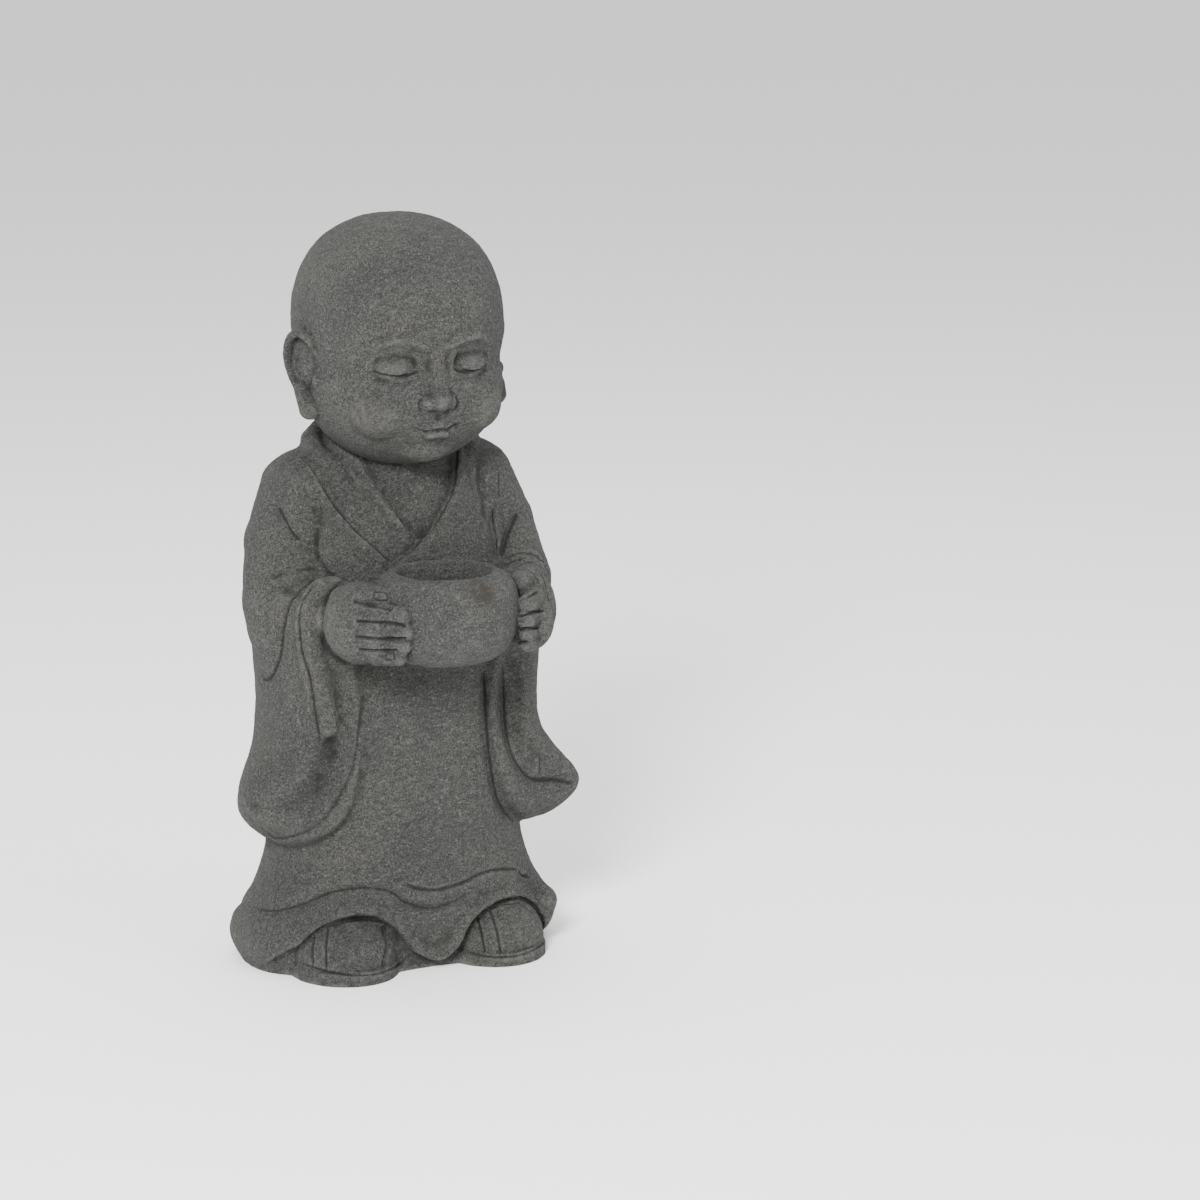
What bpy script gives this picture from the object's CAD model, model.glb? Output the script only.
"""The looks of a standing child monk of cast stone who holds a round bowl.

The figure is sculpted in its own frame, in units of a six-hundredth of its height: the origin is
on the ground at its axis, it faces -Y, and +Z is up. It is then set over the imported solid. Lines
that the picture shows on dress, hands and shoes are found by looking through the picture's own
camera. The face is a plain one, laid out on a child's usual proportions.
"""

from __future__ import annotations

import logging
import math
from dataclasses import dataclass, field
from enum import Enum
from typing import Iterable, Sequence

import bmesh
import bpy
import numpy as np
from mathutils import Matrix, Vector
from mathutils.bvhtree import BVHTree


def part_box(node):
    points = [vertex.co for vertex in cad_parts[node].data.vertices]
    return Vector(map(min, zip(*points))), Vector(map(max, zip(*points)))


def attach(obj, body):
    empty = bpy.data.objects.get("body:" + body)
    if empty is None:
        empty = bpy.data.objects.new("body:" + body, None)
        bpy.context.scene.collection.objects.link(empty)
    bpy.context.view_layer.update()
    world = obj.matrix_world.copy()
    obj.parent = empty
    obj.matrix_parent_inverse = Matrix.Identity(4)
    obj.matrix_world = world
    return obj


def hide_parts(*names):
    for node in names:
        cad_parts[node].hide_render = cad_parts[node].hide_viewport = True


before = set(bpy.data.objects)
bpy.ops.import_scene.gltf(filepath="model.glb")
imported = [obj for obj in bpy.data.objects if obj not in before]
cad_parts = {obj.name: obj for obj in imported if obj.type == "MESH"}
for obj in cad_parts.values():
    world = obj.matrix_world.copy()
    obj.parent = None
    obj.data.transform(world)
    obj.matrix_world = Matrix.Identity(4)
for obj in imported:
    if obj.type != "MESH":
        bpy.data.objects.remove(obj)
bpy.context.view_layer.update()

log = logging.getLogger("statue")

Socket = bpy.types.NodeSocket
Spot = tuple[float, float]
Path = tuple[Spot, ...]
# A place, or three sizes.
Place = tuple[float, float, float]
# A place and a radius, a height and three sizes, or how far a ledge rises and falls.
Station = tuple[float, float, float, float]
# A round form's middle and its half sizes.
Form = tuple[Place, Place]
# A colour's red, green and blue.
Tint = tuple[float, float, float]
# A noise's grains to a metre, how many finer layers it has, and how strong those are.
Grain = tuple[float, float, float]

NODE = "monk_statue"
SOLID_LOW, SOLID_HIGH = (Vector(corner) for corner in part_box(NODE))
HEIGHT = SOLID_HIGH.z - SOLID_LOW.z
UNIT = HEIGHT / 600
# Two points closer than this, in metres, count as one.
SAME_PLACE = 1e-5


class Side(Enum):
    """The figure's two sides, by the sign of X."""

    RIGHT_HAND = -1
    LEFT_HAND = 1

    def at(self, place: Sequence[float]) -> tuple[float, ...]:
        """A place given for the +X side, on this side."""
        return (place[0] * self.value, *place[1:])

    def of(self, places: Iterable[Sequence[float]]) -> list[tuple[float, ...]]:
        """Places given for the +X side, on this side."""
        return [self.at(place) for place in places]


class Cut(Enum):
    """How a tool leaves its mark: width and depth, in units. A negative depth is a ridge."""

    SLIT = (1.25, 3.2)
    LINE = (1.15, 1.9)
    HAIRLINE = (0.95, 1.1)
    CREASE = (2.4, 2.2)
    FURROW = (4.2, 3.0)
    HOLLOW = (7.5, 3.2)
    WELT = (2.0, -1.0)
    ROLL = (4.0, -2.0)


# A tool and the pixels of the picture along which it is drawn.
Stroke = tuple[Cut, Path]


def units(*values: float) -> Vector:
    """A point or size given in units, in metres."""
    return Vector([value * UNIT for value in values])


def deselect() -> None:
    """Leaves nothing selected."""
    bpy.ops.object.select_all(action="DESELECT")


def only(made: bpy.types.Object) -> None:
    """Selects one object and makes it the active one.

    Args:
        made: the object.
    """
    deselect()
    made.select_set(True)
    bpy.context.view_layer.objects.active = made


def settle() -> None:
    """Brings the active object's place, turn and size into its mesh."""
    bpy.ops.object.transform_apply(location=True, rotation=True, scale=True)


def object_of(mesh: bpy.types.Mesh) -> bpy.types.Object:
    """Puts a mesh into the scene.

    Args:
        mesh: the mesh.

    Returns:
        The new object.
    """
    made = bpy.data.objects.new(mesh.name, mesh)
    bpy.context.scene.collection.objects.link(made)
    return made


def rows_of(
    items: bpy.types.bpy_prop_collection, name: str, kind: type = np.float32, width: int = 3
) -> np.ndarray:
    """Reads one value of all points, normals or edges of a mesh.

    Args:
        items: the points, normals or edges.
        name: the value's name.
        kind: the type of its numbers.
        width: how many numbers it has.

    Returns:
        The values, a row for each item.
    """
    flat = np.empty(len(items) * width, kind)
    items.foreach_get(name, flat)
    return flat.reshape(-1, width)


def finish_with(made: bpy.types.Object, kind: str, **settings: object) -> None:
    """Adds a modifier and applies it.

    Args:
        made: the object.
        kind: the modifier's type.
        settings: the modifier's own values.
    """
    only(made)
    modifier = made.modifiers.new(kind.title(), kind)
    for name, value in settings.items():
        setattr(modifier, name, value)
    bpy.ops.object.modifier_apply(modifier=modifier.name)


def curve_through(points: Iterable[Sequence[float]], steps: int) -> list[Vector]:
    """A smooth run through points.

    Args:
        points: the points, all of one length.
        steps: how many steps there are between each two.

    Returns:
        The run, both ends included.
    """
    points = [Vector(point) for point in points]
    padded = [points[0], *points, points[-1]]
    run = []
    for a, b, c, d in zip(padded, padded[1:], padded[2:], padded[3:]):
        for i in range(steps):
            t = i / steps
            run.append(
                b
                + (c - a) * (t / 2)
                + (a - b * 2.5 + c * 2 - d * 0.5) * t**2
                + (b * 1.5 - a * 0.5 - c * 1.5 + d * 0.5) * t**3
            )
    return [*run, points[-1]]


def ring_through(corners: Sequence[Sequence[float]], steps: int) -> list[Vector]:
    """A smooth closed outline through corners.

    Args:
        corners: the corners, in order.
        steps: how many steps there are between each two.

    Returns:
        The outline, its start not repeated.
    """
    count = len(corners)
    run = curve_through([corners[i % count] for i in range(-1, count + 2)], steps)
    return run[steps : steps * (count + 1)]


class Clay:
    """Closed shells that overlap, gathered before they are fused into one skin."""

    def __init__(self) -> None:
        """Starts with no shell."""
        self.shells: list[bpy.types.Object] = []

    def keep(self, made: bpy.types.Object) -> None:
        """Takes an object as one more shell."""
        self.shells.append(made)

    def ball(
        self, centre: Place, radii: Place, turn: Place = (0, 0, 0), squareness: float = 2, fine: int = 40
    ) -> None:
        """An ellipsoid, or a squarer one.

        Args:
            centre: its middle, in units.
            radii: its half sizes, in units.
            turn: degrees about X, then Y, then Z.
            squareness: 2 for a true ellipsoid, more for a squarer one.
            fine: how many columns of faces it has.
        """
        deselect()
        bpy.ops.mesh.primitive_uv_sphere_add(segments=fine, ring_count=fine * 5 // 8, radius=1)
        made = bpy.context.object
        for vert in made.data.vertices:
            spread = sum(abs(value) ** squareness for value in vert.co) ** (1 / squareness)
            vert.co /= spread
        made.location = units(*centre)
        made.rotation_euler = [math.radians(degrees) for degrees in turn]
        made.scale = units(*radii)
        settle()
        self.keep(made)

    def limb(self, *stations: Station, fine: int = 28) -> None:
        """A chain of capsules, each a ball pulled in two.

        Args:
            stations: (x, y, z, radius) in units.
            fine: how many columns of faces a capsule has.
        """
        for start, end in zip(stations, stations[1:]):
            low, high = units(*start[:3]), units(*end[:3])
            aim = (high - low).to_track_quat("Z", "Y").to_euler()
            deselect()
            bpy.ops.mesh.primitive_uv_sphere_add(
                segments=fine, ring_count=fine * 5 // 8, radius=start[3] * UNIT, location=low, rotation=aim
            )
            bpy.ops.object.mode_set(mode="EDIT")
            shape = bmesh.from_edit_mesh(bpy.context.edit_object.data)
            for vert in shape.verts:
                vert.select = vert.co.z > -SAME_PLACE
            shape.select_flush(True)
            swell = end[3] / start[3]
            bpy.ops.transform.resize(value=(swell, swell, swell), center_override=low)
            bpy.ops.transform.translate(value=high - low)
            bpy.ops.object.mode_set(mode="OBJECT")
            settle()
            self.keep(bpy.context.object)

    def loft(self, rings: Iterable[Sequence[Sequence[float]]]) -> None:
        """A closed skin over rings of points.

        Args:
            rings: the rings from one end to the other, all of equally many points, in metres.
        """
        shape = bmesh.new()
        rows = [[shape.verts.new(point) for point in ring] for ring in rings]
        shape.faces.new(rows[0][::-1])
        for low, high in zip(rows, rows[1:]):
            for i in range(len(low)):
                j = (i + 1) % len(low)
                shape.faces.new((low[i], low[j], high[j], high[i]))
        shape.faces.new(rows[-1])
        mesh = bpy.data.meshes.new("loft")
        shape.to_mesh(mesh)
        shape.free()
        self.keep(object_of(mesh))

    def turned(self, profile: Sequence[Spot], axis: Spot, steps: int = 96) -> None:
        """A round form spun about an upright axis.

        Args:
            profile: (radius, height) in metres, from the foot over the rim to the floor of the hollow.
            axis: the axis's X and Y, in units.
            steps: how many columns of faces it has.
        """
        centre = units(*axis, 0)
        mesh = bpy.data.meshes.new("turned")
        edges = [(i, i + 1) for i in range(len(profile) - 1)]
        mesh.from_pydata([(centre.x + radius, centre.y, height) for radius, height in profile], edges, [])
        made = object_of(mesh)
        only(made)
        bpy.ops.object.mode_set(mode="EDIT")
        bpy.ops.mesh.select_all(action="SELECT")
        bpy.ops.mesh.spin(steps=steps, angle=math.tau, center=centre, axis=(0, 0, 1))
        bpy.ops.mesh.select_all(action="SELECT")
        bpy.ops.mesh.remove_doubles(threshold=SAME_PLACE)
        bpy.ops.mesh.normals_make_consistent(inside=False)
        bpy.ops.object.mode_set(mode="OBJECT")
        self.keep(made)

    def fused(self, name: str, grain: float, relax: int) -> bpy.types.Object:
        """One skin round all the shells.

        Args:
            name: the new object's name.
            grain: the size of its faces, in units.
            relax: how many times it is smoothed.

        Returns:
            The fused object.
        """
        deselect()
        for shell in self.shells:
            shell.select_set(True)
        bpy.context.view_layer.objects.active = self.shells[0]
        if len(self.shells) > 1:
            bpy.ops.object.join()
        made = self.shells[0]
        self.shells = []
        made.name = name
        made.data.name = name
        finish_with(made, "REMESH", mode="VOXEL", voxel_size=grain * UNIT)
        finish_with(made, "SMOOTH", factor=0.5, iterations=relax)
        return made


@dataclass(frozen=True)
class Lens:
    """The camera that took the picture, in the figure's own frame."""

    place: Place = (-1099.5, -2791.25, 930.0)
    bearing: float = 24.675
    pitch: float = -12.086
    focal_mm: float = 114.9
    sensor_mm: float = 36.0
    picture: float = 1200.0

    def axes(self) -> tuple[Vector, Vector, Vector]:
        """Which way the lens looks.

        Returns:
            Its right, up and forward directions.
        """
        turn, tilt = math.radians(self.bearing), math.radians(self.pitch)
        forward = Vector((math.sin(turn) * math.cos(tilt), math.cos(turn) * math.cos(tilt), math.sin(tilt)))
        right = Vector((math.cos(turn), -math.sin(turn), 0))
        return right, right.cross(forward), forward

    def sight(self, pixel: Spot) -> tuple[Vector, Vector]:
        """The look through a pixel of the picture.

        Args:
            pixel: the pixel, across and down.

        Returns:
            Where the look starts, and its direction.
        """
        right, up, forward = self.axes()
        scale = self.sensor_mm / self.picture / self.focal_mm
        across = (pixel[0] - self.picture / 2) * scale
        down = (pixel[1] - self.picture / 2) * scale
        return units(*self.place), (forward + right * across - up * down).normalized()


class Skin:
    """A fused surface, shaped by strokes that move its points."""

    # How far outside a look at the figure starts, and about how far it goes, in units.
    outside = 400
    usual_look = 320
    # How far away the picture's camera stood, and how wide a ledge's step is, in units.
    camera_look = 3000
    step_width = 1.2
    # How far a tool's mark goes, times its width, and how quickly it runs out at its ends.
    mark_reach = 3
    run_out = 0.7
    # How far a ledge goes, times the longer of its reaches, and the share of it that runs out.
    ledge_reach = 2.5
    ledge_tail = 0.05

    def __init__(self, made: bpy.types.Object, lens: Lens) -> None:
        """Reads the object's surface.

        Args:
            made: the object.
            lens: the picture's camera.
        """
        self.made = made
        self.mesh = made.data
        self.lens = lens
        self.read()

    def read(self) -> None:
        """Reads the points and normals after the mesh has changed."""
        self.points = rows_of(self.mesh.vertices, "co").astype(float)
        self.normals = rows_of(self.mesh.vertex_normals, "vector").astype(float)
        graph = bpy.context.evaluated_depsgraph_get()
        graph.update()
        self.tree = BVHTree.FromObject(self.made, graph)

    def write(self) -> None:
        """Writes the moved points back."""
        self.mesh.vertices.foreach_set("co", self.points.astype(np.float32).ravel())
        self.mesh.update()
        self.read()

    def seen(self, eye: Vector, look: Vector, usual: float) -> Vector:
        """Where a look first meets the surface, or the nearest point where it misses.

        Args:
            eye: where the look starts.
            look: its direction.
            usual: how far away the figure is, in units.

        Returns:
            A point on the surface.
        """
        point = self.tree.ray_cast(eye, look)[0]
        if point is None:
            point = self.tree.find_nearest(eye + look * usual * UNIT)[0]
        return point

    def facing(self, spots: Iterable[Spot], way: int = 1) -> list[Vector]:
        """Points on the front for (x, z) places, found by looking along +Y, or on the back with way -1."""
        look = Vector((0, way, 0))
        return [self.seen(units(x, -self.outside * way, z), look, self.usual_look) for x, z in spots]

    def around(self, spots: Iterable[Spot]) -> list[Vector]:
        """Points found by looking in at the figure's middle.

        Args:
            spots: bearings from the front, in degrees, and heights.

        Returns:
            The points on the skin.
        """
        found = []
        for bearing, z in spots:
            angle = math.radians(bearing)
            out = Vector((math.sin(angle), -math.cos(angle), 0))
            found.append(self.seen(out * self.outside * UNIT + units(0, 0, z), -out, self.usual_look))
        return found

    def pictured(self, pixels: Iterable[Spot]) -> list[Vector]:
        """Points for pixels of the picture and between them, found by looking through its camera."""
        return [self.seen(*self.lens.sight(pixel), self.camera_look) for pixel in curve_through(pixels, 4)]

    def along(self, path: Sequence[Vector], reach: float) -> tuple[np.ndarray, ...]:
        """What lies near a path on the skin.

        Args:
            path: points on the skin.
            reach: how far from the path to look, in metres.

        Returns:
            The near points' indices, distances, side of the path and share of the way along it.
        """
        run = curve_through(path, 8 if len(path) < 10 else 2)
        found = [self.tree.find_nearest(point) for point in run]
        line = np.array([point for point, _, _, _ in found])
        outward = np.array([normal for _, normal, _, _ in found])
        low = line.min(axis=0) - reach
        high = line.max(axis=0) + reach
        near = np.flatnonzero(((self.points > low) & (self.points < high)).all(axis=1))
        places = self.points[near]
        best = np.full(len(near), np.inf)
        side = np.zeros(len(near))
        share = np.zeros(len(near))
        legs = len(line) - 1
        for leg, (start, end, out) in enumerate(zip(line, line[1:], outward)):
            step = end - start
            length = step @ step
            if length == 0:
                continue
            part = np.clip((places - start) @ step / length, 0, 1)
            away = places - start - part[:, None] * step
            distance = np.linalg.norm(away, axis=1)
            closer = distance < best
            best[closer] = distance[closer]
            side[closer] = np.sign(away[closer] @ np.cross(out, step))
            share[closer] = (leg + part[closer]) / legs
        return near, best, side, share

    def cut(
        self, path: Sequence[Vector], cut: Cut, deeper: float = 1, wider: float = 1, tail: float = 0.15
    ) -> None:
        """Draws a tool along a path; its mark runs out at both ends.

        Args:
            path: points on the skin.
            cut: the tool.
            deeper: times the tool's depth.
            wider: times the tool's width.
            tail: the share of the path over which the mark runs out, or 0 for none.
        """
        width, depth = cut.value
        width, depth = width * wider * UNIT, depth * deeper * UNIT
        near, distance, _, share = self.along(path, self.mark_reach * width)
        push = depth * np.exp(-((distance / width) ** 2))
        if tail:
            push *= np.clip(np.minimum(share, 1 - share) / tail, 0, 1) ** self.run_out
        self.points[near] -= self.normals[near] * push[:, None]

    def draw(self, strokes: Iterable[Stroke], **how: float) -> None:
        """Draws strokes of the picture, all deeper, wider or with a tail as said."""
        for tool, pixels in strokes:
            self.cut(self.pictured(pixels), tool, **how)

    def ledge(
        self, path: Sequence[Vector], rise: float, rise_reach: float, fall: float, fall_reach: float
    ) -> None:
        """A cloth edge: raised on the path's left and sunk on its right, seen from outside.

        Args:
            path: points on the skin.
            rise: how far the left is raised.
            rise_reach: how far from the path that goes.
            fall: how far the right is sunk.
            fall_reach: how far from the path that goes.
        """
        reach = self.ledge_reach * max(rise_reach, fall_reach) * UNIT
        near, distance, side, share = self.along(path, reach)
        step = np.tanh(distance / (self.step_width * UNIT))
        left = rise * np.exp(-((distance / (rise_reach * UNIT)) ** 2)) * step
        right = -fall * np.exp(-((distance / (fall_reach * UNIT)) ** 2)) * step
        ends = np.clip(np.minimum(share, 1 - share) / self.ledge_tail, 0, 1)
        push = np.where(side > 0, left, right) * ends * UNIT
        self.points[near] += self.normals[near] * push[:, None]


@dataclass
class Robe:
    """The robe's trunk, its collar roll, hem and bands."""

    # Height, half width, half depth and the middle's Y, from below the ground up into the head.
    stations: tuple[Station, ...] = (
        (-14, 120, 76, 9), (2, 127, 81, 9), (18, 135, 85, 9), (34, 133, 84, 7), (50, 123, 81, 4),
        (68, 113, 78, 3), (95, 105, 76, 3), (140, 102, 74, 0), (200, 97, 73, -2), (260, 93, 74, -3),
        (310, 92, 73, -2), (345, 92, 69, 1), (370, 88, 63, 5), (390, 79, 56, 8), (406, 64, 50, 8),
        (420, 54, 46, 4), (440, 47, 42, -6), (475, 42, 38, -14),
    )
    squareness: float = 2.25
    columns: int = 128
    flared_corner: tuple[Station, ...] = (
        (98, -30, 52, 12), (111.5, -46, 38, 12), (109, -44, 27, 10.5), (104, -42, 16, 9),
    )
    collar_roll: tuple[Station, ...] = (
        (52, -28, 398, 5), (61, -20, 408, 6), (67, -6, 416, 7), (64, 14, 422, 7.5), (46, 34, 429, 7),
        (22, 43, 433, 7), (0, 45, 434, 7),
    )
    # From the roll to the cloth under it, which is thicker.
    collar_root: Station = (0, -3, -12, 3)
    # How far a cloth's edge is raised, over what reach, how far the cloth beside it is sunk, and over
    # what reach.
    hem_ledge: Station = (3.5, 9, 10, 22)
    inner_ledge: Station = (3.6, 12, 4.5, 15)
    outer_ledge: Station = (1.6, 10, 1.2, 10)
    # Pixels of the picture. A raised side is on the left of the way that the points run.
    hem_in_picture: Path = (
        (300, 946), (320, 929), (350, 917), (378, 918), (402, 935), (417, 954), (440, 960), (459, 946),
        (471, 923), (490, 904), (508, 897), (522, 898), (534, 906), (542, 917),
    )
    hem_crest: Path = (
        (318, 921), (334, 912), (350, 908), (380, 911), (394, 920), (407, 935), (420, 947), (438, 951),
        (454, 940), (462, 925), (471, 913), (484, 903), (500, 896), (515, 894), (528, 900),
    )
    band: Path = (
        (247, 905), (271, 911), (300, 905), (330, 893), (361, 888), (388, 891), (407, 903), (430, 908),
        (453, 902), (466, 893),
    )
    fold_over_hem: Path = (
        (406, 883), (415, 888), (436, 890), (463, 883), (486, 872), (507, 869), (518, 870),
    )
    nick_over_hem: Path = ((519, 870), (523, 875), (529, 876))
    near_band_outer: Path = (
        (300, 457), (312, 469), (330, 498), (351, 525), (372, 545), (390, 561),
    )
    near_band_inner: Path = (
        (426, 538), (401, 521), (384, 498), (369, 475), (358, 456), (340, 438), (322, 425),
    )
    near_band_crest: Path = ((343, 458), (356, 478), (370, 490), (390, 513), (406, 532))
    far_band_inner: Path = (
        (456, 425), (457, 449), (454, 485), (448, 501), (434, 525), (424, 536), (410, 552), (394, 563),
        (384, 572),
    )
    far_band_outer: Path = ((480, 458), (481, 485), (485, 500), (488, 520))
    # Bearings from the front and heights, round the sides and the back.
    hem_at_right: Path = ((-79, 5), (-72, 16))
    hem_at_left: Path = ((68, 12), (70, -2))
    band_behind: Path = (
        (84, 58), (105, 44), (130, 34), (155, 30), (180, 32), (205, 30), (230, 34), (255, 42), (268, 50),
    )
    # The hem and the bands' inner edges as they are found on the robe.
    hem: list[Vector] = field(default_factory=list, init=False)
    near_edge: list[Vector] = field(default_factory=list, init=False)
    far_edge: list[Vector] = field(default_factory=list, init=False)

    def add_to(self, clay: Clay) -> None:
        """Lays the trunk, the skirt's flared corner and the collar's roll.

        Args:
            clay: where the shells are gathered.
        """
        rings = []
        for height, half_width, half_depth, middle in curve_through(self.stations, 4):
            ring = []
            for i in range(self.columns):
                angle = math.tau * i / self.columns
                c, s = math.cos(angle), math.sin(angle)
                swell = (abs(c) ** self.squareness + abs(s) ** self.squareness) ** (-1 / self.squareness)
                ring.append(units(half_width * c * swell, middle + half_depth * s * swell, height))
            rings.append(ring)
        clay.loft(rings)
        clay.limb(*self.flared_corner)
        for side in Side:
            for start, end in zip(self.collar_roll, self.collar_roll[1:]):
                pair = side.of((start, end))
                clay.limb(*pair)
                clay.limb(*[Vector(station) + Vector(self.collar_root) for station in pair])

    def carve_broad(self, skin: Skin) -> None:
        """The hem over the shoes and the collar's overlap. Every line is found before the cloth moves.

        Args:
            skin: the surface that is carved.
        """
        front_hem = skin.pictured(self.hem_in_picture)
        self.hem = [*skin.around(self.hem_at_right), *front_hem, *skin.around(self.hem_at_left)]
        self.near_edge = skin.pictured(self.near_band_inner)
        self.far_edge = skin.pictured(self.far_band_inner)
        band = skin.pictured(self.band)
        band_behind = skin.around(self.band_behind)
        crest = skin.pictured(self.hem_crest)
        near_outer = skin.pictured(self.near_band_outer[::-1])
        far_outer = skin.pictured(self.far_band_outer)
        skin.ledge(self.hem, *self.hem_ledge)
        skin.ledge(self.near_edge, *self.inner_ledge)
        skin.write()
        skin.ledge(self.far_edge, *self.inner_ledge)
        skin.write()
        skin.cut(band, Cut.FURROW)
        skin.cut(band_behind, Cut.FURROW, deeper=0.6)
        skin.cut(crest, Cut.ROLL, deeper=0.7)
        skin.ledge(near_outer, *self.outer_ledge)
        skin.cut(far_outer, Cut.FURROW)
        skin.write()

    def carve_fine(self, skin: Skin) -> None:
        """The crisp lines of hem and collar.

        Args:
            skin: the surface that is carved.
        """
        skin.cut(self.hem, Cut.LINE, tail=0.04)
        skin.cut(skin.pictured(self.band), Cut.HAIRLINE)
        skin.cut(skin.pictured(self.fold_over_hem), Cut.LINE, wider=1.3, deeper=1.2)
        skin.cut(skin.pictured(self.nick_over_hem), Cut.SLIT, wider=1.2)
        skin.cut(skin.pictured(self.near_band_outer), Cut.LINE, tail=0.08)
        skin.cut(self.near_edge, Cut.LINE, tail=0.04)
        skin.cut(skin.pictured(self.near_band_crest), Cut.WELT, deeper=1.3)
        skin.cut(self.far_edge, Cut.LINE, tail=0.04)


@dataclass
class Sleeve:
    """A hanging sleeve with its shoulder, arm and rolled cuff."""

    side: Side
    # Height, then the outline's corners as X (outwards) and Y, from the lip beside the robe, over
    # the mouth and the outer lip, to the back.
    levels: tuple[tuple, ...]
    upper_arm: tuple[Station, ...] = (
        (65, 7, 371, 45.5), (84, 2, 342, 38), (99, -14, 300, 31.5), (98, -18, 280, 30),
    )
    forearm: tuple[Station, ...] = ((98, -16, 288, 30), (87, -52, 296, 22), (76, -84, 299, 18))
    # The cuff's roll over the wrist and down the sleeve's opening.
    cuff: tuple[Station, ...] = (
        (58, -84, 312, 6), (66, -88, 322, 6), (78, -88, 327, 6), (92, -80, 323, 6), (101, -68, 310, 6),
        (103, -61, 290, 6), (99, -60, 272, 6),
    )
    broad: tuple[Stroke, ...] = ()
    fine: tuple[Stroke, ...] = ()
    # Folds behind, as X (outwards) and height.
    folds_behind: tuple[tuple[Spot, ...], ...] = (
        ((84, 372), (80, 345), (72, 318)),
        ((104, 262), (98, 225), (96, 185), (98, 150)),
        ((62, 280), (60, 230), (61, 180), (64, 135)),
    )

    def add_to(self, clay: Clay) -> None:
        """Lays the sleeve, the arm inside it and the cuff's roll over the wrist.

        Args:
            clay: where the shells are gathered.
        """
        levels = [[(x, y, z) for x, y in corners] for z, *corners in self.levels]
        columns = [curve_through(column, 4) for column in zip(*levels)]
        clay.loft(
            [units(*self.side.at(point)) for point in ring_through(corners, 8)] for corners in zip(*columns)
        )
        clay.limb(*self.side.of(self.upper_arm), fine=48)
        clay.limb(*self.side.of(self.forearm), fine=48)
        for start, end in zip(self.cuff, self.cuff[1:]):
            clay.limb(*self.side.of((start, end)))

    def carve_broad(self, skin: Skin) -> None:
        """The sleeve's deep folds, in front and behind.

        Args:
            skin: the surface that is carved.
        """
        skin.draw(self.broad)
        for fold in self.folds_behind:
            skin.cut(skin.facing(self.side.of(fold), way=-1), Cut.HOLLOW)

    def carve_fine(self, skin: Skin) -> None:
        """The crisp creases and lips."""
        skin.draw(self.fine)


# The sleeves' upper levels, where both are the same.
LEVELS_AT_ELBOW = (
    (312, (64, -76), (82, -84), (102, -66), (120, -28), (108, 14), (60, 8)),
    (285, (60, -72), (78, -78), (102, -62), (122, -26), (110, 20), (60, 10)),
)


def right_hand_sleeve() -> Sleeve:
    """The sleeve on the figure's right.

    Returns:
        The sleeve.
    """
    fold = ((313, 580), (293, 599), (284, 627), (281, 654), (272, 676), (262, 681))
    lip = ((319, 582), (303, 599), (299, 623), (302, 653), (310, 678), (316, 718), (321, 744))
    mouth = ((334, 720), (329, 756), (315, 787), (286, 804), (257, 805), (251, 811))
    robe_edge = ((364, 691), (357, 749), (344, 787), (317, 826), (281, 840), (261, 828))
    armpit = ((313, 490), (318, 527), (317, 553), (328, 571), (335, 576))
    arm = ((278, 506), (291, 530), (300, 540))
    return Sleeve(
        Side.RIGHT_HAND,
        (
            *LEVELS_AT_ELBOW,
            (250, (57, -67), (76, -66), (98, -58), (118, -22), (107, 24), (58, 12)),
            (215, (54, -66), (74, -57), (95, -57), (114, -18), (104, 28), (55, 14)),
            (185, (54, -67), (75, -56), (98, -57), (118, -16), (104, 32), (55, 15)),
            (165, (57, -68), (84, -57), (111, -55), (128, -15), (106, 36), (56, 15)),
            (148, (60, -68), (92, -59), (128, -48), (136, -12), (108, 40), (58, 16)),
            (134, (66, -66), (98, -60), (131, -45), (137, -8), (108, 41), (62, 16)),
            (122, (75, -60), (103, -56), (124, -38), (131, -6), (107, 34), (70, 14)),
            (111, (86, -47), (103, -45), (115, -28), (119, -6), (105, 22), (82, 10)),
            (104, (94, -32), (102, -31), (108, -20), (109, -6), (103, 8), (92, 2)),
        ),
        cuff=(
            (58, -76, 308, 8), (68, -78, 316, 9), (79, -78, 321, 9.5), (88, -76, 319, 10), (94, -73, 312, 10),
            (97.5, -71, 302, 10), (98.5, -69, 290, 10), (96, -67, 276, 10.5), (92, -65, 258, 11),
            (87, -62, 238, 11), (82, -60, 217, 11), (79, -59, 204, 10),
        ),
        broad=(
            (Cut.HOLLOW, fold),
            (Cut.FURROW, lip),
            (Cut.HOLLOW, mouth),
            (Cut.HOLLOW, armpit),
            (Cut.FURROW, arm),
            (Cut.CREASE, ((271, 578), (286, 573), (304, 570), (317, 569))),
        ),
        fine=(
            (Cut.LINE, fold),
            (Cut.LINE, lip),
            (Cut.CREASE, armpit[1:]),
            (Cut.HAIRLINE, armpit[1:]),
            (Cut.HAIRLINE, arm),
            (Cut.CREASE, robe_edge),
        ),
    )


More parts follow.
